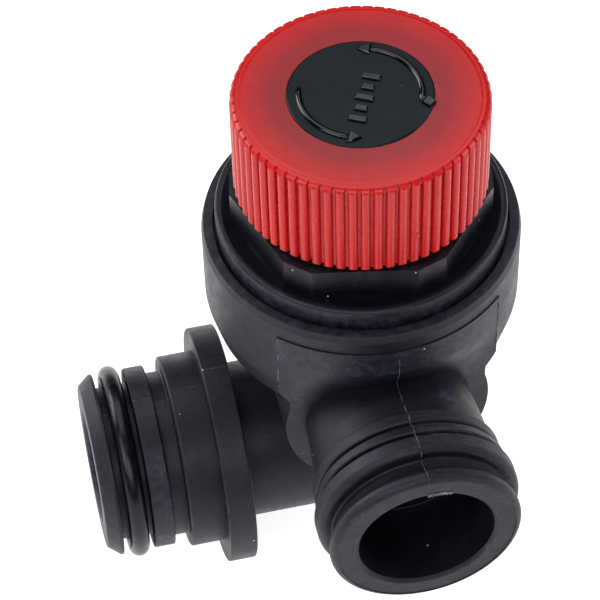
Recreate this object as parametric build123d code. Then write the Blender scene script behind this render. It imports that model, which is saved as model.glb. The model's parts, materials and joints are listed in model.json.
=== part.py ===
from build123d import *
import math
import os

# Plastic pressure-relief valve with a lift knob.
#
# Frame: the origin is the centre of the inlet shoulder's front face. The inlet spigot
# points along -X, the outlet along -Y and the valve spindle along +Z. Millimetres.
# Everything on the valve axis is turned about Z and then moved out to VALVE_X.

# Driving dimensions -----------------------------------------------------------

VALVE_X = 20.6            # distance of the valve axis from the inlet shoulder
OUTLET_Z = 18.4           # height of the outlet axis above the inlet axis
RUNNING = 0.08            # radial clearance of a shaft in its guide
TOUCH = 0.05              # gap between faces of different moving bodies

# Inlet spigot; lengths run outwards from the shoulder
SHOULDER_R = 15.3
SHOULDER_T = 3.5
REAR_LAND_R = 12.4
REAR_LAND_END = 4.4
CLIP_GROOVE_R = 10.6
CLIP_GROOVE_END = 6.4
FRONT_LAND_R = 11.7
FRONT_LAND_END = 9.0
SEAL_GROOVE_R = 9.85
SEAL_GROOVE_END = 13.05
TIP_R = 11.75
TIP_LAND_END = 13.45
TIP_FACE_R = 10.5
INLET_LENGTH = 15.0
INLET_BORE_R = 7.0
TUBE_R = 10.05
SEAL_WIRE_R = 1.25
SEAL_MEAN_R = 11.14
SEAL_CENTRE = 10.95

# Outlet; lengths run outwards from the valve axis
NECK_ROOT_R = 10.2
NECK_R = 10.7
NECK_TAPER_END = 20.0
BOSS_R = 12.66
BOSS_FACE = 13.8
LAND_1_START = 23.0
LAND_1_R = 11.5
LAND_1_END = 24.6
LAND_2_R = 11.9
LAND_2_START = 25.1
LAND_2_END = 26.5
LAND_3_R = 12.3
LAND_3_START = 27.0
LAND_3_END = 29.7
LAND_3_SHOULDER = 0.9     # rounding of the largest land's front edge
THIN_GROOVE = 0.55        # depth of the two grooves between the lands
CATCH_GROOVE_R = 10.6
CATCH_GROOVE_END = 30.7
MOUTH_R = 11.6
MOUTH_START = 32.1
MOUTH_ROUND = 1.0
MOUTH_FACE_R = 10.8
OUTLET_LENGTH = 33.5
SOCKET_R = 8.25
SOCKET_DEPTH = 10.0
SOCKET_CHAMFER = 0.45
PASSAGE_R = 7.1

# Cup and lower body; radii about the valve axis, heights above the inlet axis
CUP_R = 19.12
CUP_TOP = 39.06
CUP_BORE_R = 16.0
CUP_RECESS_R = 17.75
CUP_RECESS_Z = 37.6
SHELF_Z = 28.6
CHAMBER_R = 13.4
CHAMBER_FLOOR = 11.0
LOWER_R = 10.6
NOZZLE_R = 7.3
NOZZLE_BORE_R = 5.5
SEAT_Z = 24.0
PANEL_TOP = 36.3
PANEL_FOOT = 26.0         # where the panel's straight sides end
PANEL_HALF = 13.4
PANEL_PROUD = 0.15
WAIST_TOP = 23.7
WAIST_HALF = 12.1
BLOCK_DEPTH = 25.0

# Diaphragm stack
DIAPHRAGM_T = 1.6
RIM_R = 15.9
SLIP_RING_T = 1.0
SLIP_RING_INNER_R = 14.0
HOLDER_R = 8.6
DISC_R = 7.4
DISC_T = 2.0
PLATE_T = 1.0
SPRING_PLATE_T = 1.2

# Bonnet
BONNET_BOTTOM = SHELF_Z + DIAPHRAGM_T + SLIP_RING_T
RING_R = 17.41
RING_TOP = 41.76
HEX_FLATS = 28.7
HEX_CORNERS_CUT = 31.0    # across the six short facets
HEX_TOP = 45.5
HEX_TURN = 18.7           # direction of one long flat, degrees from +X
GUIDE_R = 12.2
SPRING_ROOM_R = 9.3
CAM_BASE = 49.0

# Spindle and spring
STEM_R = 2.5
STEM_COLLAR_R = 4.2
STEM_SPIGOT_R = 2.2
STEM_TOP = 56.1
WIRE_R = 0.9
SPRING_MEAN_R = 7.4
SPRING_TURNS = 4.5
ADJUSTER_Z = 46.6
ADJUSTER_T = 2.8
WASHER_T = 0.7

# Knob
KNOB_R = 15.0
KNOB_VALLEY_R = 14.35
KNOB_CROWN_R = 14.5       # top disc that closes the valleys
KNOB_CROWN_T = 1.1
KNOB_CROWN_EDGE = 0.9     # rounding of the disc's top edge
RIB_DROP = 0.07           # how far the ribs end below the top
RIB_END = 0.9             # rounding of the ribs' ends
KNOB_BOTTOM = 46.3
KNOB_TOP = 59.75
KNOB_ROOM_R = 12.9
KNOB_ROOF = 55.6
HUB_R = 7.8
HUB_BOTTOM = 52.2
POCKET_R = 6.0
POCKET_Z = 53.5
RIBS = 64
RIB_SHARE = 0.78          # share of the pitch that a rib fills
CAP_R = 8.45
CAP_T = 1.5
CAP_PROUD = 0.15
SKIRT_INNER_R = 6.4
SKIRT_OUTER_R = 7.4
SKIRT_BOTTOM = 56.3
SKIRT_GAP = 0.05

# Lift cams: three ramps on the bonnet lift three teeth of the knob
CAM_COUNT = 3
CAM_INNER_R = 9.6
CAM_OUTER_R = 12.1
CAM_MEAN_R = 10.85
CAM_TRAVEL = 60.0
CAM_LIFT = 1.8
CAM_GAP = 0.2
CAM_MID = 51.0
TOOTH_HALF = 7.0
STOP_TOP = 54.4


# Helpers ----------------------------------------------------------------------

def outline(corners):
    """Closed face in the XZ plane from (radius, height, optional rounding) corners."""
    points = [(corner[0], corner[1]) for corner in corners]
    rounds = [corner[2] if len(corner) > 2 else 0 for corner in corners]
    return make_face(Plane.XZ * FilletPolyline(*points, radius=rounds, close=True))


def turned(*corners, angle=360):
    """Solid of revolution about Z."""
    return revolve(outline(corners), Axis.Z, angle)


def rod(radius, bottom, top):
    """Upright cylinder between two heights."""
    return Pos(0, 0, bottom) * Cylinder(radius, top - bottom, align=(Align.CENTER, Align.CENTER, Align.MIN))


def block(x, y, z):
    """Box between the (low, high) limits on each axis."""
    size = [high - low for low, high in (x, y, z)]
    return Pos(x[0], y[0], z[0]) * Box(*size, align=(Align.MIN, Align.MIN, Align.MIN))


def along_inlet(shape):
    """Turns a shape built along +Z to point along -X."""
    return Rot(0, -90, 0) * shape


def along_outlet(shape):
    """Turns a shape built along +Z to point along -Y at the outlet's height."""
    return Pos(0, 0, OUTLET_Z) * Rot(90, 0, 0) * shape


def hexagon_bar(flats, bottom, top):
    """Six-sided prism with its first flat facing +X."""
    profile = RegularPolygon(flats / 2, 6, major_radius=False, rotation=30)
    return Pos(0, 0, bottom) * extrude(profile, top - bottom)


def save(name, shape):
    """Moves a shape from the valve axis into the part's frame and writes it."""
    export_step(Pos(VALVE_X, 0, 0) * shape, f"parts/{name}.step")


# Valve body -------------------------------------------------------------------

def shell_of_revolution():
    """Cup, funnel and rounded foot, solid."""
    return turned(
        (0, -LOWER_R), (LOWER_R, -LOWER_R, 9.0), (LOWER_R, 9.0, 5.0), (14.2, 17.2, 8.0),
        (18.2, 24.3, 4.0), (CUP_R, 28.0, 2.0), (CUP_R, CUP_TOP - 1.0),
        (CUP_R - 0.25, CUP_TOP, 0.15), (0, CUP_TOP),
    )


def front_section(height, middle, side):
    """Slice of the front block: a box with a bowed front edge."""
    left = (-PANEL_HALF, -side)
    right = (PANEL_HALF, -side)
    edges = [
        ThreePointArc(left, (0, -middle), right),
        Line(right, (PANEL_HALF, 0)),
        Line((PANEL_HALF, 0), (-PANEL_HALF, 0)),
        Line((-PANEL_HALF, 0), left),
    ]
    return Pos(0, 0, height) * make_face(edges)


def front_silhouette():
    """Front view of the block as a prism: round boss, narrow waist, straight-sided panel."""
    right = [
        (WAIST_HALF, OUTLET_Z, 0), (WAIST_HALF, WAIST_TOP, 0.8),
        (PANEL_HALF, PANEL_FOOT, 0.6), (PANEL_HALF, PANEL_TOP, 0),
    ]
    left = [(-x, z, rounding) for x, z, rounding in reversed(right)]
    return extrude(outline(right + left), BLOCK_DEPTH) + along_outlet(rod(BOSS_R, 0, BLOCK_DEPTH))


def front_block():
    """Panel below the cup's rim that runs down into the outlet boss."""
    panel_r = CUP_R + PANEL_PROUD
    panel_side = math.sqrt(panel_r ** 2 - PANEL_HALF ** 2)
    panel_bottom = 32.5
    upper = loft([
        front_section(panel_bottom, panel_r, panel_side),
        front_section(PANEL_TOP, panel_r, panel_side),
    ])
    lower = loft([
        front_section(OUTLET_Z - BOSS_R - 1, BOSS_FACE + 0.1, BOSS_FACE),
        front_section(16.0, BOSS_FACE + 0.1, BOSS_FACE),
        front_section(22.0, BOSS_FACE + 0.6, BOSS_FACE),
        front_section(26.0, 16.0, BOSS_FACE),
        front_section(29.5, 18.1, panel_side - 0.1),
        front_section(panel_bottom, panel_r, panel_side),
    ])
    return upper + (lower & front_silhouette())


def outlet_outside():
    """Neck, collar lands and rounded mouth, solid."""
    return along_outlet(turned(
        (0, 8.0), (NECK_ROOT_R, 8.0), (NECK_ROOT_R, BOSS_FACE), (NECK_R, NECK_TAPER_END),
        (NECK_R, LAND_1_START, 0.3), (LAND_1_R, LAND_1_START, 0.25), (LAND_1_R, LAND_1_END, 0.25),
        (LAND_1_R - THIN_GROOVE, LAND_1_END + 0.2, 0.1), (LAND_1_R - THIN_GROOVE, LAND_2_START, 0.1),
        (LAND_2_R - 0.2, LAND_2_START + 0.15, 0.25), (LAND_2_R, LAND_2_END, 0.25),
        (LAND_2_R - THIN_GROOVE, LAND_2_END + 0.2, 0.1), (LAND_2_R - THIN_GROOVE, LAND_3_START, 0.1),
        (LAND_3_R, LAND_3_START + 0.3, 0.3), (LAND_3_R, LAND_3_END, LAND_3_SHOULDER),
        (CATCH_GROOVE_R, LAND_3_END, 0.25), (CATCH_GROOVE_R, CATCH_GROOVE_END, 2.0),
        (MOUTH_R, MOUTH_START, 0.8), (MOUTH_R, OUTLET_LENGTH, MOUTH_ROUND), (0, OUTLET_LENGTH),
    ))


def inlet_outside():
    """Shoulder, lands, clip groove, seal groove and tip of the inlet spigot, solid."""
    spigot = turned(
        (0, -VALVE_X), (TUBE_R, -VALVE_X), (TUBE_R, -SHOULDER_T, 0.3), (SHOULDER_R, -SHOULDER_T, 0.25),
        (SHOULDER_R, 0, 0.25), (REAR_LAND_R, 0), (REAR_LAND_R, REAR_LAND_END, 0.35),
        (CLIP_GROOVE_R, REAR_LAND_END, 0.2), (CLIP_GROOVE_R, CLIP_GROOVE_END, 0.2),
        (FRONT_LAND_R, CLIP_GROOVE_END, 0.2), (FRONT_LAND_R, FRONT_LAND_END, 0.15),
        (SEAL_GROOVE_R, FRONT_LAND_END, 0.2), (SEAL_GROOVE_R, SEAL_GROOVE_END, 0.2),
        (TIP_R, SEAL_GROOVE_END, 0.12), (TIP_R, TIP_LAND_END, 0.2),
        (TIP_FACE_R, INLET_LENGTH, 0.3), (0, INLET_LENGTH),
    )
    return Pos(-VALVE_X, 0, 0) * along_inlet(spigot)


def body_waterways():
    """Everything hollow in the body except the seat nozzle."""
    cup = turned(
        (0, SHELF_Z), (CUP_BORE_R, SHELF_Z), (CUP_BORE_R, CUP_RECESS_Z),
        (CUP_RECESS_R, CUP_RECESS_Z), (CUP_RECESS_R, CUP_TOP + 1), (0, CUP_TOP + 1),
    )
    chamber = turned(
        (0, CHAMBER_FLOOR), (8.9, CHAMBER_FLOOR, 0.8), (10.4, 15.0), (CHAMBER_R, 23.0, 2.0),
        (CHAMBER_R, SHELF_Z + 0.01), (0, SHELF_Z + 0.01),
    )
    socket = along_outlet(turned(
        (0, 8.0), (PASSAGE_R, 8.0), (PASSAGE_R, OUTLET_LENGTH - SOCKET_DEPTH, 0.15),
        (SOCKET_R, OUTLET_LENGTH - SOCKET_DEPTH), (SOCKET_R, OUTLET_LENGTH - SOCKET_CHAMFER),
        (SOCKET_R + SOCKET_CHAMFER, OUTLET_LENGTH - 0.1, 0.3), (MOUTH_FACE_R, OUTLET_LENGTH - 0.1),
        (MOUTH_FACE_R, OUTLET_LENGTH + 1), (0, OUTLET_LENGTH + 1),
    ))
    return cup + chamber + socket


def valve_body():
    shell = shell_of_revolution()
    slope_start = 20.0
    shell -= block((-PANEL_HALF, PANEL_HALF), (-BLOCK_DEPTH, -13.0), (slope_start, PANEL_TOP))
    shell -= block((-CUP_R, CUP_R), (-BLOCK_DEPTH, -BOSS_FACE + 0.05), (0, slope_start))
    solid = shell + front_block() + inlet_outside() + outlet_outside()
    solid -= body_waterways()
    solid += turned(
        (0, CHAMBER_FLOOR - 1), (NOZZLE_R + 0.6, CHAMBER_FLOOR - 1), (NOZZLE_R + 0.2, CHAMBER_FLOOR + 1),
        (NOZZLE_R, 22.6), (NOZZLE_BORE_R + 0.9, SEAT_Z, 0.4), (0, SEAT_Z),
    )
    bore = Pos(-VALVE_X, 0, 0) * along_inlet(turned(
        (0, -VALVE_X - 4.0), (INLET_BORE_R, -VALVE_X - 4.0, 2.0), (INLET_BORE_R, INLET_LENGTH - 0.4),
        (INLET_BORE_R + 0.4, INLET_LENGTH), (INLET_BORE_R + 0.4, INLET_LENGTH + 1), (0, INLET_LENGTH + 1),
    ))
    solid -= bore
    solid -= rod(NOZZLE_BORE_R, 0, SEAT_Z + 1)
    return solid


def inlet_o_ring():
    ring = Pos(0, 0, SEAL_CENTRE) * Torus(SEAL_MEAN_R, SEAL_WIRE_R)
    return Pos(-VALVE_X, 0, 0) * along_inlet(ring)


# Bonnet and clamped parts -----------------------------------------------------

def cam_slope(middle_angle):
    """Tilted plane whose height rises by CAM_LIFT over CAM_TRAVEL about middle_angle."""
    rise = CAM_LIFT / (2 * CAM_MEAN_R * math.sin(math.radians(CAM_TRAVEL / 2)))
    turn = math.radians(middle_angle)
    return Vector(rise * math.sin(turn), -rise * math.cos(turn), 1).normalized()


def ring_sector(start, end, bottom, top):
    """Upright block of the cam ring between two angles."""
    profile = ((CAM_INNER_R, bottom), (CAM_OUTER_R, bottom), (CAM_OUTER_R, top), (CAM_INNER_R, top))
    return Rot(0, 0, start) * turned(*profile, angle=end - start)


def ramp(rest_angle):
    """Ramp from just behind the tooth's rest place to just past its highest one."""
    middle = rest_angle + CAM_TRAVEL / 2
    solid = ring_sector(rest_angle - TOOTH_HALF - 3, rest_angle + CAM_TRAVEL + TOOTH_HALF + 3, CAM_BASE - 2, 56)
    above = Plane(origin=(0, 0, CAM_MID), z_dir=cam_slope(middle)) * Box(
        60, 60, 20, align=(Align.CENTER, Align.CENTER, Align.MIN))
    return solid - above


def bonnet():
    outer = turned(
        (0, BONNET_BOTTOM), (CUP_BORE_R - TOUCH, BONNET_BOTTOM, 0.3), (CUP_BORE_R - TOUCH, CUP_RECESS_Z),
        (RING_R, CUP_RECESS_Z), (RING_R, RING_TOP, 0.45), (16.6, RING_TOP, 0.3), (14.6, RING_TOP - 0.9, 0.8),
        (13.2, RING_TOP - 0.9), (13.2, HEX_TOP - 0.5), (GUIDE_R, HEX_TOP - 0.5), (GUIDE_R, CAM_BASE),
        (0, CAM_BASE),
    )
    collar = hexagon_bar(HEX_FLATS, RING_TOP - 1.2, HEX_TOP) & (
        Rot(0, 0, 30) * hexagon_bar(HEX_CORNERS_CUT, RING_TOP - 1.2, HEX_TOP))
    crown = turned(
        (0, RING_TOP - 1.3), (17.0, RING_TOP - 1.3), (17.0, HEX_TOP - 0.9), (15.6, HEX_TOP - 0.1, 0.8),
        (14.2, HEX_TOP), (0, HEX_TOP),
    )
    solid = outer + Rot(0, 0, HEX_TURN) * (collar & crown)
    solid += ring_sector(0, 360, CAM_BASE - 2, CAM_BASE)
    for number in range(CAM_COUNT):
        rest = number * 360 / CAM_COUNT
        solid += ramp(rest)
        solid += ring_sector(rest + CAM_TRAVEL + TOOTH_HALF + 3, rest + 360 / CAM_COUNT - TOOTH_HALF - 3,
                             CAM_BASE - 2, STOP_TOP)
    solid -= turned(
        (0, BONNET_BOTTOM - 1), (13.4, BONNET_BOTTOM - 1), (13.4, 34.6, 1.0), (SPRING_ROOM_R, 37.4),
        (SPRING_ROOM_R, 60), (0, 60),
    )
    return solid


def diaphragm():
    """Flat clamped rim, one rolling fold, flat centre."""
    top = SHELF_Z + DIAPHRAGM_T
    return turned(
        (STEM_SPIGOT_R, SHELF_Z), (HOLDER_R + 0.2, SHELF_Z, 0.6), (10.0, SHELF_Z + 2.2, 0.8),
        (12.2, SHELF_Z + 2.2, 0.8), (12.9, SHELF_Z, 0.4), (RIM_R, SHELF_Z), (RIM_R, top, 0.2),
        (13.5, top, 0.3), (12.9, top + 2.0, 1.2), (9.2, top + 2.0, 1.2), (8.4, top - 0.6, 0.4),
        (STEM_SPIGOT_R, top - 0.6),
    )


def slip_ring():
    bottom = SHELF_Z + DIAPHRAGM_T
    return turned(
        (SLIP_RING_INNER_R, bottom), (RIM_R, bottom), (RIM_R, bottom + SLIP_RING_T, 0.15),
        (SLIP_RING_INNER_R, bottom + SLIP_RING_T, 0.15),
    )


def spring_adjuster():
    """Threaded ring with a central guide hole and two key slots."""
    top = ADJUSTER_Z + ADJUSTER_T
    solid = turned(
        (STEM_R + RUNNING, ADJUSTER_Z), (SPRING_ROOM_R - TOUCH, ADJUSTER_Z, 0.3),
        (SPRING_ROOM_R - TOUCH, top, 0.3), (STEM_R + RUNNING, top),
    )
    slot = block((5.0, 10.0), (-1.25, 1.25), (top - 1.4, top + 1))
    return solid - slot - Rot(0, 0, 180) * slot


def spring():
    """Round-wire compression spring, ground flat at both ends."""
    bottom = spring_plate_top()
    length = ADJUSTER_Z - bottom
    pitch = (length - 2 * WIRE_R * 0.55) / SPRING_TURNS
    path = Helix(pitch, pitch * SPRING_TURNS, SPRING_MEAN_R)
    section = Plane(origin=path @ 0, z_dir=path % 0) * Circle(WIRE_R)
    coil = Pos(0, 0, bottom + WIRE_R * 0.55) * sweep(section, path=path, is_frenet=True)
    room = rod(SPRING_MEAN_R + 2 * WIRE_R, bottom, ADJUSTER_Z)
    return coil & room


# Moving stack on the spindle --------------------------------------------------

def plate_bottom():
    return SHELF_Z + DIAPHRAGM_T - 0.6


def spring_plate_bottom():
    return plate_bottom() + PLATE_T


def spring_plate_top():
    return spring_plate_bottom() + SPRING_PLATE_T


def valve_disc():
    bottom = SEAT_Z + TOUCH
    return turned(
        (1.6, bottom), (DISC_R, bottom, 0.2), (DISC_R, bottom + DISC_T), (1.6, bottom + DISC_T),
    )


def disc_holder():
    """Carrier with a skirt round the rubber disc and a threaded bore for the spindle."""
    disc_top = SEAT_Z + TOUCH + DISC_T
    solid = turned(
        (0, disc_top), (DISC_R, disc_top), (DISC_R, SEAT_Z + 0.9), (HOLDER_R - 0.3, SEAT_Z + 0.9),
        (HOLDER_R, SEAT_Z + 1.6, 0.3), (HOLDER_R, SHELF_Z, 0.4), (0, SHELF_Z),
    )
    solid -= rod(STEM_SPIGOT_R, SHELF_Z - 1.2, SHELF_Z + 1)
    return solid - rod(1.45, disc_top - 1, disc_top + 1.1)


def disc_washer():
    top = SEAT_Z + TOUCH
    return turned((1.6, top - 0.7), (3.4, top - 0.7, 0.15), (3.4, top), (1.6, top))


def disc_screw():
    """Cross-slotted cheese-head screw that holds the rubber disc."""
    seat = SEAT_Z + TOUCH - 0.7
    solid = turned(
        (0, seat - 1.6), (2.6, seat - 1.6, 0.3), (2.6, seat), (1.45, seat),
        (1.45, SEAT_Z + DISC_T + 1.0), (0, SEAT_Z + DISC_T + 1.0),
    )
    slot = block((-3, 3), (-0.3, 0.3), (seat - 2, seat - 0.9))
    return solid - slot - Rot(0, 0, 90) * slot


def diaphragm_plate():
    low = plate_bottom()
    return turned(
        (STEM_SPIGOT_R, low), (8.0, low, 0.2), (8.0, low + PLATE_T, 0.2), (STEM_SPIGOT_R, low + PLATE_T),
    )


def spring_plate():
    """Lower spring seat with a collar that centres the coil."""
    low = spring_plate_bottom()
    high = spring_plate_top()
    return turned(
        (STEM_SPIGOT_R, low), (8.7, low, 0.25), (8.7, high, 0.25), (6.2, high, 0.2), (5.8, high + 2.2, 0.4),
        (4.9, high + 2.2), (4.9, high), (STEM_SPIGOT_R, high),
    )


def stem():
    """Spindle: threaded spigot, collar on the spring plate, long shaft, chamfered top."""
    high = spring_plate_top()
    return turned(
        (0, SHELF_Z - 1.2), (STEM_SPIGOT_R, SHELF_Z - 1.2), (STEM_SPIGOT_R, high),
        (STEM_COLLAR_R, high), (STEM_COLLAR_R, high + 1.2, 0.3), (STEM_R, high + 1.2, 0.2),
        (STEM_R, STEM_TOP - 0.5), (STEM_R - 0.5, STEM_TOP), (0, STEM_TOP),
    )


def lift_washer():
    low = POCKET_Z + TOUCH
    return turned(
        (STEM_R + RUNNING, low), (5.3, low, 0.15), (5.3, low + WASHER_T, 0.15),
        (STEM_R + RUNNING, low + WASHER_T),
    )


def spindle_nut():
    low = POCKET_Z + 2 * TOUCH + WASHER_T
    crown = turned((0, low), (4.62, low), (4.62, low + 1.35), (4.1, low + 1.65), (0, low + 1.65))
    return (hexagon_bar(8.0, low, low + 1.65) & crown) - rod(STEM_R, low - 1, low + 3)


# Knob -------------------------------------------------------------------------

def knob_outline():
    """Outline of the gripped rim: RIBS round-backed ribs with flat valleys between."""
    pitch = 2 * math.pi / RIBS
    half = RIB_SHARE * pitch / 2
    edges = []
    for number in range(RIBS):
        centre = number * pitch
        start = (KNOB_VALLEY_R * math.cos(centre - half), KNOB_VALLEY_R * math.sin(centre - half))
        crest = (KNOB_R * math.cos(centre), KNOB_R * math.sin(centre))
        end = (KNOB_VALLEY_R * math.cos(centre + half), KNOB_VALLEY_R * math.sin(centre + half))
        following = centre + pitch - half
        valley = (KNOB_VALLEY_R * math.cos(following), KNOB_VALLEY_R * math.sin(following))
        edges.append(ThreePointArc(start, crest, end))
        edges.append(Line(end, valley))
    return make_face(Wire(edges))


def knob_tooth(angle):
    """Cam tooth under the roof, its foot cut to the ramp's slope."""
    tooth = ring_sector(angle - TOOTH_HALF, angle + TOOTH_HALF, 46, KNOB_ROOF + 0.5)
    foot = CAM_MID - CAM_LIFT / 2 + CAM_GAP
    below = Plane(origin=(0, 0, foot), z_dir=cam_slope(angle)) * Box(
        60, 60, 20, align=(Align.CENTER, Align.CENTER, Align.MAX))
    return tooth - below


def knob():
    rib_top = KNOB_TOP - RIB_DROP
    ribbed = Pos(0, 0, KNOB_BOTTOM) * extrude(knob_outline(), rib_top - KNOB_BOTTOM)
    rounded = turned(
        (0, KNOB_BOTTOM), (KNOB_R + 0.05, KNOB_BOTTOM, 0.45), (KNOB_R + 0.01, rib_top, RIB_END), (0, rib_top),
    )
    crown_base = KNOB_TOP - KNOB_CROWN_T
    crown = turned(
        (0, crown_base - 0.4), (KNOB_VALLEY_R - 0.1, crown_base - 0.4), (KNOB_CROWN_R, crown_base, 0.1),
        (KNOB_CROWN_R, KNOB_TOP, KNOB_CROWN_EDGE), (0, KNOB_TOP),
    )
    solid = (ribbed & rounded) + crown
    solid -= turned(
        (HUB_R, KNOB_BOTTOM - 1), (KNOB_ROOM_R, KNOB_BOTTOM - 1), (KNOB_ROOM_R, KNOB_ROOF, 0.6),
        (HUB_R, KNOB_ROOF, 0.4),
    )
    solid -= rod(HUB_R + 0.01, KNOB_BOTTOM - 1, HUB_BOTTOM)
    for number in range(CAM_COUNT):
        solid += knob_tooth(number * 360 / CAM_COUNT)
    solid -= rod(CAP_R + 0.04, KNOB_TOP - CAP_T, KNOB_TOP + 1)
    solid -= turned(
        (0, POCKET_Z), (POCKET_R, POCKET_Z, 0.2), (POCKET_R, KNOB_TOP - CAP_T + 0.1),
        (0, KNOB_TOP - CAP_T + 0.1),
    )
    skirt_floor = SKIRT_BOTTOM - 0.2
    solid -= turned(
        (SKIRT_INNER_R - SKIRT_GAP, skirt_floor), (SKIRT_OUTER_R + SKIRT_GAP, skirt_floor),
        (SKIRT_OUTER_R + SKIRT_GAP, KNOB_TOP - CAP_T + 0.1), (SKIRT_INNER_R - SKIRT_GAP, KNOB_TOP - CAP_T + 0.1),
    )
    return solid - rod(STEM_R + RUNNING, HUB_BOTTOM - 1, POCKET_Z + 1)


def knob_cap():
    """Snap-in cap with a short skirt."""
    low = KNOB_TOP - CAP_T
    high = KNOB_TOP + CAP_PROUD
    return turned(
        (0, low), (SKIRT_INNER_R, low), (SKIRT_INNER_R, SKIRT_BOTTOM),
        (SKIRT_OUTER_R, SKIRT_BOTTOM, 0.2), (SKIRT_OUTER_R, low), (CAP_R, low),
        (CAP_R, high, 0.2), (0, high),
    )


PIECES = {
    "valve_body": valve_body,
    "inlet_o_ring": inlet_o_ring,
    "bonnet": bonnet,
    "diaphragm": diaphragm,
    "slip_ring": slip_ring,
    "spring_adjuster": spring_adjuster,
    "spring": spring,
    "valve_disc": valve_disc,
    "disc_holder": disc_holder,
    "disc_washer": disc_washer,
    "disc_screw": disc_screw,
    "diaphragm_plate": diaphragm_plate,
    "spring_plate": spring_plate,
    "stem": stem,
    "lift_washer": lift_washer,
    "spindle_nut": spindle_nut,
    "knob": knob,
    "knob_cap": knob_cap,
}

os.makedirs("parts", exist_ok=True)
for piece_name, make_piece in PIECES.items():
    save(piece_name, make_piece())
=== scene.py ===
import json
import math

import bmesh
import bpy
from mathutils import Matrix, Vector
from mathutils.bvhtree import BVHTree


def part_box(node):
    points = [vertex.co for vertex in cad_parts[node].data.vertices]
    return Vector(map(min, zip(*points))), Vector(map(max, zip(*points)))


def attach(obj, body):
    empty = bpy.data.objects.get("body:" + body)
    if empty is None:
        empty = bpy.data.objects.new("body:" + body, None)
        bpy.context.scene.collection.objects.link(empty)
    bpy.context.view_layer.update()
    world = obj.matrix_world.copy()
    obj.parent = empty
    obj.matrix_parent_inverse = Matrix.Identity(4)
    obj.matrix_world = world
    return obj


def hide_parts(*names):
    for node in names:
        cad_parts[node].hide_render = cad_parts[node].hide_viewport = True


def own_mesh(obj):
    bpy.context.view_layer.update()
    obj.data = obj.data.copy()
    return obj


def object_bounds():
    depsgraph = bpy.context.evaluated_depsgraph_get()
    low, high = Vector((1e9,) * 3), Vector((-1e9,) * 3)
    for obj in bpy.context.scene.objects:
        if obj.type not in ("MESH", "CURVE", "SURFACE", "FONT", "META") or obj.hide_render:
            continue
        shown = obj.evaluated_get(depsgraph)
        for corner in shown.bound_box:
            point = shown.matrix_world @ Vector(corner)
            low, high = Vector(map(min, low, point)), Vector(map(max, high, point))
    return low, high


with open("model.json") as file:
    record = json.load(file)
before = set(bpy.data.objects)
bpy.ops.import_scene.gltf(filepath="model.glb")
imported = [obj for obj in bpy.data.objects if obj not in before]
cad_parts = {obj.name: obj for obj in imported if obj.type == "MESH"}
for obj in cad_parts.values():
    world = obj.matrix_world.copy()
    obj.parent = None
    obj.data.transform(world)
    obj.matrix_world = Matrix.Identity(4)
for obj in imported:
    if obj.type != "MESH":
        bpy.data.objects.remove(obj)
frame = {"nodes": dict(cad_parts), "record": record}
cad_low, cad_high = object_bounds()
nodes = frame["nodes"]

MM = 0.001

# Photographic set-up: viewing direction, roll and lens, and the point looked at,
# measured from the centre of the object's box
AZIMUTH = math.radians(-11.32)
ELEVATION = math.radians(49.96)
ROLL = math.radians(-1.74)
DISTANCE = 338.06 * MM
LENS = 164.1
AIM_OFFSET = Vector((0.82, 8.68, 1.40)) * MM

# Places on the valve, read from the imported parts
knob_low, knob_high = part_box("knob")
cap_low, cap_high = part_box("knob_cap")
AXIS_X = (cap_low.x + cap_high.x) / 2
CAP_TOP = cap_high.z
CAP_R = (cap_high.x - cap_low.x) / 2
KNOB_R = (knob_high.x - knob_low.x) / 2
outlet_mount = next(mount for mount in frame["record"]["mounts"] if mount["name"] == "outlet_socket")
OUTLET_Z = outlet_mount["pos_m"][2]
MOUTH_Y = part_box("valve_body")[0].y

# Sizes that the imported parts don't state
PANEL_HALF = 13.32 * MM    # half the width of the panel under the cup's rim
KNOB_RIBS = 64


# Node material helpers ----------------------------------------------------------

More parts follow.
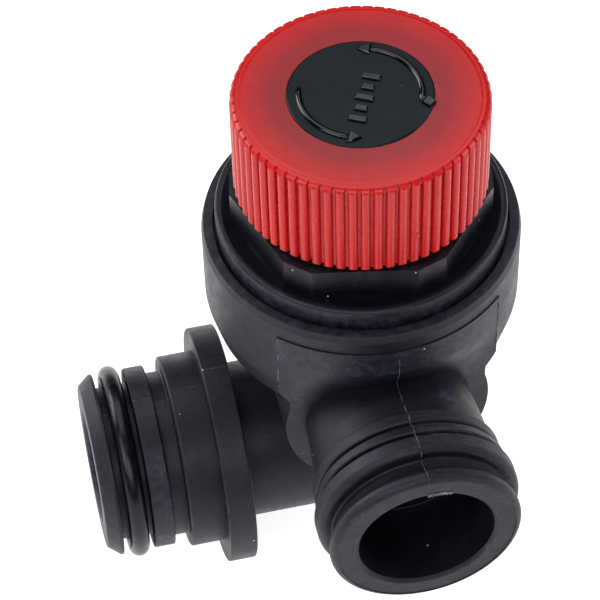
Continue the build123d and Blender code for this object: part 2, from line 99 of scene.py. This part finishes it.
class Nodes:
    """Thin wrapper for building one node material."""

    def __init__(self, name):
        self.material = bpy.data.materials.new(name)
        self.material.use_nodes = True
        self.tree = self.material.node_tree
        self.shader = self.tree.nodes["Principled BSDF"]
        self.coords = self.add("ShaderNodeTexCoord").outputs["Object"]

    def add(self, kind, **settings):
        node = self.tree.nodes.new(kind)
        for key, value in settings.items():
            setattr(node, key, value)
        return node

    def link(self, source, target):
        self.tree.links.new(source, target)

    def fixed(self, **values):
        """Sets plain values on the shader; underscores stand for spaces."""
        for key, value in values.items():
            self.shader.inputs[key.replace("_", " ")].default_value = value

    def noise(self, scale, detail=3.0, roughness=0.55, stretch=None):
        node = self.add("ShaderNodeTexNoise")
        node.inputs["Scale"].default_value = scale
        node.inputs["Detail"].default_value = detail
        node.inputs["Roughness"].default_value = roughness
        source = self.coords
        if stretch:
            mapping = self.add("ShaderNodeMapping")
            mapping.inputs["Scale"].default_value = stretch
            self.link(self.coords, mapping.inputs["Vector"])
            source = mapping.outputs["Vector"]
        self.link(source, node.inputs["Vector"])
        return node.outputs["Fac"]

    def cells(self, scale):
        node = self.add("ShaderNodeTexVoronoi")
        node.inputs["Scale"].default_value = scale
        self.link(self.coords, node.inputs["Vector"])
        return node

    def ramp(self, source, *stops):
        """Colour ramp from (position, grey or colour) stops."""
        node = self.add("ShaderNodeValToRGB")
        elements = node.color_ramp.elements
        while len(elements) < len(stops):
            elements.new(0.5)
        for element, (position, value) in zip(elements, stops):
            element.position = position
            colour = (value,) * 3 if isinstance(value, (int, float)) else value
            element.color = (*colour, 1)
        self.link(source, node.inputs["Fac"])
        return node.outputs["Color"]

    def mottled(self, low, high, scale, detail=3.0, roughness=0.55):
        """Grey or colour that drifts between two values over the surface."""
        return self.ramp(self.noise(scale, detail, roughness), (0.3, low), (0.7, high))

    def mix(self, factor, a, b):
        """Colour b laid over colour a by a factor."""
        node = self.add("ShaderNodeMix", data_type="RGBA")
        for socket, value in ((node.inputs[0], factor), (node.inputs[6], a), (node.inputs[7], b)):
            if isinstance(value, bpy.types.NodeSocket):
                self.link(value, socket)
            elif isinstance(value, (int, float)):
                socket.default_value = value
            else:
                socket.default_value = (*value, 1)
        return node.outputs[2]

    def maths(self, operation, a, b):
        node = self.add("ShaderNodeMath", operation=operation)
        for socket, value in ((node.inputs[0], a), (node.inputs[1], b)):
            if isinstance(value, bpy.types.NodeSocket):
                self.link(value, socket)
            else:
                socket.default_value = value
        return node.outputs[0]

    def bump(self, height, strength, distance, below=None):
        node = self.add("ShaderNodeBump")
        node.inputs["Strength"].default_value = strength
        node.inputs["Distance"].default_value = distance
        self.link(height, node.inputs["Height"])
        if below is not None:
            self.link(below, node.inputs["Normal"])
        return node.outputs["Normal"]

    def specks(self, scale, size, share):
        """Sparse small dots: 1 inside a dot, 0 elsewhere."""
        cell = self.cells(scale)
        dot = self.maths("LESS_THAN", cell.outputs["Distance"], size)
        chosen = self.maths("LESS_THAN", cell.outputs["Color"], share)
        return self.maths("MULTIPLY", dot, chosen)

    def dusted(self, colour, dust_colour, strength, scale, size, share):
        """Sprinkles specks of dust over a colour."""
        dust = self.maths("MULTIPLY", self.specks(scale, size, share), strength)
        return self.mix(dust, colour, dust_colour)

    def done(self, colour, roughness, normal=None):
        self.link(colour, self.shader.inputs["Base Color"])
        self.link(roughness, self.shader.inputs["Roughness"])
        if normal is not None:
            self.link(normal, self.shader.inputs["Normal"])
        return self.material


def brighter(colour, gain):
    return tuple(gain * channel for channel in colour)


def moulded_nylon(name, dark, light, roughness, grain, scraped=False, streaked=False):
    """Glass-filled nylon: fine grain, faint flow marks, pale worn edges, dust specks."""
    n = Nodes(name)
    n.fixed(IOR=1.5, Specular_IOR_Level=0.33, Specular_Tint=(0.86, 0.87, 1.0, 1))
    flow = n.noise(140, 4, 0.6)
    fine = n.noise(2800, 4, 0.75)
    base = n.ramp(flow, (0.35, dark), (0.68, light))
    fibres = n.ramp(fine, (0.58, 0.0), (0.78, 1.0))
    base = n.mix(n.maths("MULTIPLY", fibres, 0.45), base, brighter(light, 8))
    edge = n.add("ShaderNodeNewGeometry").outputs["Pointiness"]
    worn = n.ramp(edge, (0.505, 0.0), (0.60, 1.0))
    breakup = n.ramp(n.noise(1300, 3, 0.6), (0.40, 0.05), (0.62, 1.0))
    wear = n.maths("MULTIPLY", n.maths("MULTIPLY", worn, breakup), 0.75)
    colour = n.mix(wear, base, brighter(light, 13))
    colour = n.dusted(colour, (0.50, 0.51, 0.52), 0.8, scale=520, size=0.065, share=0.20)
    rough = n.mottled(roughness - 0.06, roughness + 0.08, 420, 4, 0.6)
    texture = n.bump(fine, grain, 0.08 * MM)
    texture = n.bump(flow, 0.10, 0.10 * MM, texture)
    if scraped:
        texture = n.bump(scrape_marks(n), 0.8, 0.12 * MM, texture)
    if streaked:
        texture = n.bump(n.noise(1500, 3, 0.6, (1, 1, 0.04)), 0.30, 0.06 * MM, texture)
    return n.done(colour, rough, texture)


def scrape_marks(n):
    """Fine rings left by the mould on the outlet's upper side, from its top line to +X."""
    rings = n.ramp(n.noise(420, 5, 0.7, (0.35, 9, 0.35)), (0.38, 0.0), (0.62, 1.0))
    place = n.add("ShaderNodeSeparateXYZ")
    n.link(n.coords, place.inputs[0])
    on_outlet = n.maths("LESS_THAN", place.outputs["Y"], MOUTH_Y + 10.4 * MM)
    right_half = n.maths("GREATER_THAN", place.outputs["X"], AXIS_X + 0.1 * MM)
    upper = n.maths("GREATER_THAN", place.outputs["Z"], OUTLET_Z + 3 * MM)
    quarter = n.maths("MULTIPLY", n.maths("MULTIPLY", on_outlet, right_half), upper)
    return n.maths("MULTIPLY", rings, quarter)


def radius_share(n, inner, outer):
    """0 at the inner and 1 at the outer distance from the spindle's axis."""
    centred = n.add("ShaderNodeVectorMath", operation="SUBTRACT")
    n.link(n.coords, centred.inputs[0])
    centred.inputs[1].default_value = (AXIS_X, 0, 0)
    flat = n.add("ShaderNodeVectorMath", operation="MULTIPLY")
    n.link(centred.outputs["Vector"], flat.inputs[0])
    flat.inputs[1].default_value = (1, 1, 0)
    length = n.add("ShaderNodeVectorMath", operation="LENGTH")
    n.link(flat.outputs["Vector"], length.inputs[0])
    share = n.add("ShaderNodeMapRange")
    share.inputs["From Min"].default_value = inner
    share.inputs["From Max"].default_value = outer
    n.link(length.outputs["Value"], share.inputs["Value"])
    return share.outputs["Result"]


def moulded_red():
    """Satin red polypropylene, duller round the cap; the brighter, warmer red out at the rim and ribs is a
    painted glow of light through the thin plastic.
    """
    n = Nodes("knob_red")
    n.fixed(IOR=1.48, Specular_IOR_Level=0.34, Subsurface_Weight=0.06, Subsurface_Scale=0.6 * MM)
    n.shader.inputs["Subsurface Radius"].default_value = (1.0, 0.25, 0.2)
    cloud = n.noise(160, 4, 0.6)
    inner = n.ramp(cloud, (0.3, (0.225, 0.0100, 0.0145)), (0.7, (0.260, 0.0120, 0.0170)))
    # The outer red is painted light: the glow of the lit, thin rim and ribs, laid on more strongly towards
    # the rim
    outer = n.ramp(cloud, (0.3, (0.46, 0.0060, 0.0060)), (0.7, (0.52, 0.0075, 0.0075)))
    painted_rim_glow = n.ramp(radius_share(n, CAP_R, KNOB_R), (0.25, 0.0), (1.0, 1.0))
    base = n.mix(painted_rim_glow, inner, outer)
    scuffs = n.maths("MULTIPLY", n.ramp(n.noise(1500, 4, 0.7), (0.62, 0.0), (0.78, 1.0)), 0.12)
    colour = n.mix(scuffs, base, (0.75, 0.16, 0.15))
    colour = n.dusted(colour, (0.85, 0.45, 0.42), 0.5, scale=380, size=0.05, share=0.08)
    rough = n.mottled(0.24, 0.32, 700, 3, 0.6)
    return n.done(colour, rough, n.bump(n.noise(2300, 3, 0.6), 0.05, 0.02 * MM))


def cap_plastic(name, dark, light, roughness, shine):
    """Near-black plastic of the cap; shine sets how strongly it mirrors."""
    n = Nodes(name)
    n.fixed(IOR=1.5, Specular_IOR_Level=shine, Specular_Tint=(0.84, 0.94, 1.0, 1))
    base = n.mottled(dark, light, 250)
    colour = n.dusted(base, (0.35, 0.37, 0.38), 0.4, scale=520, size=0.05, share=0.10)
    rough = n.mottled(roughness - 0.04, roughness + 0.05, 900)
    return n.done(colour, rough, n.bump(n.noise(3000, 2), 0.04, 0.02 * MM))


def rubber(name, dark, light, roughness):
    """Moulded rubber with a slight sheen and a little dust."""
    n = Nodes(name)
    n.fixed(IOR=1.5, Specular_IOR_Level=0.30, Specular_Tint=(0.88, 0.89, 1.0, 1))
    base = n.mottled(dark, light, 300, 4)
    colour = n.dusted(base, (0.30, 0.30, 0.31), 0.35, scale=600, size=0.06, share=0.12)
    rough = n.mottled(roughness - 0.06, roughness + 0.08, 800, 4)
    return n.done(colour, rough, n.bump(n.noise(1800, 3), 0.08, 0.03 * MM))


def metal(name, dark, light, roughness, stretch):
    """Turned or drawn metal with fine marks along one direction."""
    n = Nodes(name)
    n.fixed(Metallic=1.0)
    marks = n.noise(900, 4, 0.6, stretch)
    colour = n.ramp(marks, (0.3, dark), (0.7, light))
    rough = n.ramp(marks, (0.3, roughness - 0.06), (0.7, roughness + 0.10))
    return n.done(colour, rough, n.bump(marks, 0.10, 0.02 * MM))


def acetal():
    """Natural acetal, cream and slightly waxy."""
    n = Nodes("inner_plastic")
    n.fixed(IOR=1.48, Subsurface_Weight=0.15, Subsurface_Scale=1.0 * MM)
    colour = n.mottled((0.60, 0.57, 0.50), (0.68, 0.66, 0.60), 200)
    rough = n.mottled(0.38, 0.5, 900)
    return n.done(colour, rough, n.bump(n.noise(2000, 2), 0.05, 0.02 * MM))


# The tones given are the darker and the lighter one; the roughness follows
BODY = moulded_nylon("body_nylon", (0.0026, 0.0028, 0.0044), (0.0046, 0.0049, 0.0074), 0.44,
                     grain=0.70, scraped=True)
BONNET = moulded_nylon("bonnet_nylon", (0.0024, 0.0025, 0.0040), (0.0040, 0.0043, 0.0066), 0.38,
                       grain=0.22, streaked=True)
FLASH = moulded_nylon("flash_nylon", (0.0060, 0.0063, 0.0085), (0.0150, 0.0158, 0.0200), 0.45, grain=0.30)
RED = moulded_red()
CAP = cap_plastic("cap_satin", (0.0040, 0.0060, 0.0072), (0.0058, 0.0084, 0.0098), 0.34, shine=0.17)
CAP_GLOSS = cap_plastic("cap_gloss", (0.0014, 0.0017, 0.0021), (0.0022, 0.0026, 0.0032), 0.14, shine=0.45)
SEAL = rubber("seal_rubber", (0.0024, 0.0025, 0.0038), (0.0040, 0.0042, 0.0060), 0.28)
INNER_RUBBER = rubber("inner_rubber", (0.024, 0.024, 0.026), (0.036, 0.036, 0.038), 0.55)
ZINC = metal("zinc_steel", (0.50, 0.50, 0.48), (0.68, 0.68, 0.66), 0.30, stretch=(1, 1, 12))
WIRE = metal("spring_steel", (0.38, 0.38, 0.38), (0.56, 0.56, 0.56), 0.28, stretch=(2, 2, 14))
BRASS = metal("brass", (0.58, 0.40, 0.15), (0.76, 0.58, 0.27), 0.26, stretch=(1, 1, 12))
ACETAL = acetal()

FINISH = {
    "valve_body": BODY,
    "bonnet": BONNET,
    "inlet_o_ring": SEAL,
    "diaphragm": INNER_RUBBER,
    "valve_disc": INNER_RUBBER,
    "slip_ring": ZINC,
    "disc_washer": ZINC,
    "disc_screw": ZINC,
    "spring_plate": ZINC,
    "lift_washer": ZINC,
    "spindle_nut": ZINC,
    "spring": WIRE,
    "spring_adjuster": BRASS,
    "diaphragm_plate": BRASS,
    "stem": BRASS,
    "disc_holder": ACETAL,
    "knob": RED,
    "knob_cap": CAP,
}

for node_name, material in FINISH.items():
    slots = nodes[node_name].data.materials
    slots.clear()
    slots.append(material)


# Added pieces -------------------------------------------------------------------

def make_piece(name, points, faces, material, body, slot, smooth=False):
    """Closed mesh from points and faces; it rides on a body. The slot argument is not used."""
    mesh = bpy.data.meshes.new(name)
    bm = bmesh.new()
    corners = [bm.verts.new(point) for point in points]
    for face in faces:
        bm.faces.new([corners[index] for index in face])
    bmesh.ops.recalc_face_normals(bm, faces=bm.faces)
    for face in bm.faces:
        face.smooth = smooth
    bm.to_mesh(mesh)
    bm.free()
    piece = bpy.data.objects.new(name, mesh)
    bpy.context.scene.collection.objects.link(piece)
    mesh.materials.append(material)
    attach(piece, body)
    return piece


def swept(sections):
    """Points and faces of a closed tube through rings of equal length."""
    count = len(sections[0])
    points = [point for section in sections for point in section]
    faces = []
    for ring in range(len(sections) - 1):
        for side in range(count):
            following = (side + 1) % count
            low, high = ring * count, (ring + 1) * count
            faces.append((low + side, low + following, high + following, high + side))
    last = (len(sections) - 1) * count
    faces.append(tuple(range(count)))
    faces.append(tuple(last + side for side in reversed(range(count))))
    return points, faces


def ripple(position, seed):
    """Smooth irregular value from -1 to 1 along a length in millimetres."""
    return (math.sin(position * 1.9 + seed) + 0.6 * math.sin(position * 4.7 + 2.3 * seed)
            + 0.4 * math.sin(position * 11.3 + 5.1 * seed)) / 2.0


# Raised marks on the cap. Angles are in degrees anticlockwise from +X, radii from the spindle.
MARK_R = 7.05 * MM         # radius of the circle that the arcs and arrow heads lie on
MARK_SINK = 0.15 * MM      # how deep each mark is rooted in the cap
ARC_HALF = 0.40 * MM
ARC_HEIGHT = 0.38 * MM
ARC_STEPS = 48
HEAD_HALF = 0.85 * MM
HEAD_SPAN = 13
UPPER_ARC = (336, 428)
LOWER_ARC = (160, 246)
BAR_WIDTH = 0.80 * MM
BAR_HEIGHT = 0.38 * MM
BARS = ((-3.4, 2.2), (-1.7, 1.5), (0.0, 2.2), (1.7, 1.5), (3.4, 2.2))    # place in the row and length, mm
ROW_ANGLE = 63
ROW_CENTRE = Vector((0.25, -0.95)) * MM
TAB_ANGLE = 334.5


def on_cap(radius, angle, height):
    """Point at a radius, an angle in radians and a height above the cap's top."""
    return Vector((AXIS_X + radius * math.cos(angle), radius * math.sin(angle), CAP_TOP + height))


def arc_mark(name, start, end):
    """Half-round raised arc with tapered ends, lying on the cap."""
    profile = [math.radians(angle) for angle in (180, 155, 130, 105, 90, 75, 50, 25, 0)]
    sections = []
    for step in range(ARC_STEPS + 1):
        share = step / ARC_STEPS
        angle = math.radians(start + (end - start) * share)
        swell = min(1.0, 0.55 + 8 * share, 0.55 + 8 * (1 - share))
        ring = [on_cap(MARK_R + ARC_HALF * swell * math.cos(a), angle, ARC_HEIGHT * swell * math.sin(a))
                for a in profile]
        ring += [on_cap(MARK_R + ARC_HALF * swell, angle, -MARK_SINK),
                 on_cap(MARK_R - ARC_HALF * swell, angle, -MARK_SINK)]
        sections.append(ring)
    return make_piece(name, *swept(sections), CAP_GLOSS, "knob_body", "cap_plastic", smooth=True)


def arrow_head(name, start):
    """Bevelled triangular head whose tip points anticlockwise."""
    rings = []
    for height, inset in ((-MARK_SINK, 0.0), (0.20 * MM, 0.0), (0.34 * MM, 0.18 * MM)):
        half = HEAD_HALF - inset
        back = math.radians(start) + inset / MARK_R
        tip = math.radians(start + HEAD_SPAN) - 1.5 * inset / MARK_R
        shoulder = back + (tip - back) * 0.35
        rings.append([
            on_cap(MARK_R - half, back, height),
            on_cap(MARK_R + half, back, height),
            on_cap(MARK_R + 0.75 * half, shoulder, height),
            on_cap(MARK_R, tip, height),
            on_cap(MARK_R - 0.75 * half, shoulder, height),
        ])
    return make_piece(name, *swept(rings), CAP_GLOSS, "knob_body", "cap_plastic")


def bar_mark(name, centre, direction, length):
    """Raised bar with bevelled top, lying on the cap."""
    along = Vector((math.cos(direction), math.sin(direction), 0))
    across = Vector((-along.y, along.x, 0))
    origin = Vector((AXIS_X + centre[0], centre[1], CAP_TOP))
    rings = []
    for level, inset in ((-MARK_SINK, 0.0), (BAR_HEIGHT - 0.10 * MM, 0.02 * MM), (BAR_HEIGHT, 0.12 * MM)):
        half_long, half_wide = length / 2 - inset, BAR_WIDTH / 2 - inset
        rings.append([
            origin + along * (a * half_long) + across * (b * half_wide) + Vector((0, 0, level))
            for a, b in ((-1, -1), (1, -1), (1, 1), (-1, 1))
        ])
    return make_piece(name, *swept(rings), CAP_GLOSS, "knob_body", "cap_plastic")


def bar_row():
    """Row of bars across the middle of the cap."""
    row_angle = math.radians(ROW_ANGLE)
    row_way = Vector((math.cos(row_angle), math.sin(row_angle)))
    for number, (place, length) in enumerate(BARS, start=1):
        centre = ROW_CENTRE + row_way * place * MM
        bar_mark(f"cap_bar_{number}", centre, row_angle + math.pi / 2, length * MM)


def cap_tab():
    """Small slanted tab with bevelled top, near the cap's edge."""
    angle = math.radians(TAB_ANGLE)
    rings = []
    for height, inset in ((-MARK_SINK, 0.0), (0.22 * MM, 0.0), (0.36 * MM, 0.12 * MM)):
        rings.append([
            on_cap(7.15 * MM + inset, angle - 0.02, height),
            on_cap(8.15 * MM, angle - 0.085 + inset / CAP_R, height),
            on_cap(8.75 * MM - inset, angle + 0.03, height),
            on_cap(7.75 * MM, angle + 0.115 - inset / CAP_R, height),
        ])
    return make_piece("cap_tab", *swept(rings), CAP_GLOSS, "knob_body", "cap_plastic")


def make_cap_marks():
    for side, (start, end) in (("upper", UPPER_ARC), ("lower", LOWER_ARC)):
        arc_mark(f"cap_arc_{side}", start, end)
        arrow_head(f"cap_arrow_{side}", end - 1)
    bar_row()
    cap_tab()


# Flash lines of the mould, laid on the surface of the valve body
FLASH_ROOT = 0.05 * MM     # how deep each line is rooted in the body


def body_surface():
    item = nodes["valve_body"]
    corners = [item.matrix_world @ vertex.co for vertex in item.data.vertices]
    return BVHTree.FromPolygons(corners, [tuple(face.vertices) for face in item.data.polygons])


def flash_line(name, tree, starts, direction, side, width, height, seed):
    """Thin uneven ridge along the line where rays from the start points meet the body."""
    way = Vector(direction).normalized()
    aside = Vector(side)
    half = aside * (width / 2)
    sections = []
    travelled, before = 0.0, None
    for start in starts:
        point, normal, _, _ = tree.ray_cast(start, way)
        if point is None:
            continue
        if before is not None:
            travelled += (point - before).length / MM
        before = point
        if normal.dot(way) > 0:
            normal = -normal
        middle = point + aside * (0.05 * MM * ripple(travelled * 0.7, seed))
        root = middle - normal * FLASH_ROOT
        rise = height * (0.65 + 0.35 * ripple(travelled, seed + 1.7))
        sections.append([root - half, root + half, middle + normal * rise])
    return make_piece(name, *swept(sections), FLASH, "housing", "body_nylon")


def outlet_flash(tree):
    """Along the outlet's top and up the cup, found by rays that slant down and inwards."""
    down, climb = Vector((0, 0.643, -0.766)), Vector((0, 0.766, 0.643))
    pitch, count = 0.09 * MM, 168
    first = Vector((AXIS_X, MOUTH_Y, OUTLET_Z + 10 * MM)) - down * 60 * MM
    starts = [first + climb * pitch * step for step in range(count)]
    flash_line("outlet_flash", tree, starts, down, (1, 0, 0), width=0.17 * MM, height=0.05 * MM, seed=0.4)


def inlet_flash(tree):
    """Along the inlet's top, from just behind its tip to the back of its shoulder."""
    pitch, count = 0.12, 149
    starts = [Vector((-14.4 + step * pitch, 0.15, 16.5)) * MM for step in range(count)]
    down, across = (0, 0, -1), (0, 1, 0)
    flash_line("inlet_flash", tree, starts, down, across, width=0.13 * MM, height=0.035 * MM, seed=2.1)


def panel_flash(tree, name, sign):
    """Down one upright edge of the panel under the cup's rim."""
    edge, top = AXIS_X + sign * PANEL_HALF, 36.2
    pitch, count = 0.12, 82
    starts = [Vector((edge, MOUTH_Y, (top - step * pitch) * MM)) for step in range(count)]
    flash_line(name, tree, starts, (0, 1, 0), (1, 0, 0), width=0.24 * MM, height=0.09 * MM, seed=3.3 + sign)


def make_flash():
    tree = body_surface()
    outlet_flash(tree)
    inlet_flash(tree)
    panel_flash(tree, "panel_flash_left", -1)
    panel_flash(tree, "panel_flash_right", 1)


def make_bore_flash():
    """Thin torn skin at the top edge of the outlet's mouth, beside the flash line."""
    steps = 28
    outer, edge = 8.95 * MM, 8.70 * MM
    rings = []
    for step in range(steps + 1):
        share = step / steps
        angle = math.radians(91 - 20 * share)
        reach = max((0.38 - 0.20 * share + 0.09 * ripple(step * 0.6, 1.3)) * MM, 0.05 * MM)
        inner, curl = edge - reach, 0.05 + 0.04 * ripple(step * 0.9, 0.2)
        rings.append([
            Vector((AXIS_X + radius * math.cos(angle), MOUTH_Y + depth * MM,
                    OUTLET_Z + radius * math.sin(angle)))
            for radius, depth in ((outer, 0.30), (outer, 0.02), (inner, curl), (inner, 0.20))
        ])
    make_piece("mouth_flash", *swept(rings), FLASH, "housing", "body_nylon")


def make_rib_nick():
    """Small moulding blemish on the crest of one rib of the knob."""
    pitch = 2 * math.pi / KNOB_RIBS
    angle = round(math.radians(282.2) / pitch) * pitch
    radius, height = KNOB_R - 0.02 * MM, 50.8 * MM
    centre = Vector((AXIS_X + radius * math.cos(angle), radius * math.sin(angle), height))
    bm = bmesh.new()
    bmesh.ops.create_icosphere(bm, subdivisions=3, radius=0.42 * MM)
    points = []
    for vertex in bm.verts:
        x, y, z = vertex.co
        swell = 1 + 0.22 * ripple((6 * x + 9 * z) / MM, 0.8)
        points.append(centre + Vector((x * 0.9, y * 0.5, z * 1.1)) * swell)
    faces = [tuple(vertex.index for vertex in face.verts) for face in bm.faces]
    bm.free()
    make_piece("rib_nick", points, faces, RED, "knob_body", "knob_red", smooth=True)


def make_spring_coil():
    """The spring again as a piece of its own, riding on the housing in place of the imported spring."""
    coil = bpy.data.objects.new("spring_coil", nodes["spring"].data.copy())
    bpy.context.scene.collection.objects.link(coil)
    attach(coil, "housing")
    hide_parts("spring")
    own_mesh(coil)


make_cap_marks()
make_spring_coil()
make_flash()
make_bore_flash()
make_rib_nick()


# Set: floor, lights and camera ---------------------------------------------------

def floor_material():
    """White paper with a glow of its own, which keeps it pure white behind the object."""
    n = Nodes("floor_paper")
    n.fixed(Specular_IOR_Level=0.2, Emission_Color=(1, 1, 1, 1), Emission_Strength=0.85)
    return n.done(n.mottled(0.50, 0.53, 12, 2), n.mottled(0.75, 0.85, 30, 2))


def make_floor():
    mesh = bpy.data.meshes.new("floor")
    bm = bmesh.new()
    bmesh.ops.create_grid(bm, x_segments=8, y_segments=8, size=3.0)
    bm.to_mesh(mesh)
    bm.free()
    floor = bpy.data.objects.new("floor", mesh)
    floor.location = (AXIS_X, 0, cad_low.z - 0.2 * MM)
    bpy.context.scene.collection.objects.link(floor)
    mesh.materials.append(floor_material())


def area_light(name, place, target, size, power):
    """White rectangular lamp turned to the target."""
    data = bpy.data.lights.new(name, "AREA")
    data.shape = "RECTANGLE"
    data.size, data.size_y = size
    data.energy = power
    light = bpy.data.objects.new(name, data)
    light.location = place
    light.rotation_euler = (Vector(target) - Vector(place)).to_track_quat("-Z", "Y").to_euler()
    bpy.context.scene.collection.objects.link(light)


# Name, place from the object's centre in metres, width and height in metres, power in watts
LAMPS = (
    ("top", (0.0, 0.28, 0.80), (0.9, 0.75), 4.5),
    ("left", (-0.65, -0.35, 0.60), (0.5, 0.5), 3.4),
    ("right", (0.75, -0.10, 0.35), (0.4, 0.6), 3.0),
    ("front", (-0.10, -0.70, 0.60), (0.7, 0.4), 3.8),
    ("back", (-0.65, 0.55, 0.40), (0.5, 0.5), 4.8),
)


def make_lights():
    centre = (cad_low + cad_high) / 2
    for name, offset, size, power in LAMPS:
        area_light(name, centre + Vector(offset), centre, size, power)
    world = bpy.data.worlds.new("studio")
    world.use_nodes = True
    background = world.node_tree.nodes["Background"]
    background.inputs["Color"].default_value = (1.0, 1.0, 1.0, 1)
    background.inputs["Strength"].default_value = 0.02
    bpy.context.scene.world = world


def make_camera():
    """Camera on the viewing direction, turned about it by the roll."""
    target = (cad_low + cad_high) / 2 + AIM_OFFSET
    right = Vector((math.cos(AZIMUTH), math.sin(AZIMUTH), 0))
    back = Vector((
        math.sin(AZIMUTH) * math.cos(ELEVATION),
        -math.cos(AZIMUTH) * math.cos(ELEVATION),
        math.sin(ELEVATION),
    ))
    up = back.cross(right)
    rolled_right = right * math.cos(ROLL) + up * math.sin(ROLL)
    rolled_up = up * math.cos(ROLL) - right * math.sin(ROLL)
    turn = Matrix((rolled_right, rolled_up, back)).transposed().to_4x4()
    data = bpy.data.cameras.new("camera")
    data.lens = LENS
    data.sensor_width = 36.0
    data.clip_start = 0.01
    data.clip_end = 10.0
    camera = bpy.data.objects.new("camera", data)
    camera.matrix_world = Matrix.Translation(target + back * DISTANCE) @ turn
    bpy.context.scene.collection.objects.link(camera)
    bpy.context.scene.camera = camera


make_floor()
make_lights()
make_camera()
bpy.context.scene.view_settings.view_transform = "Standard"
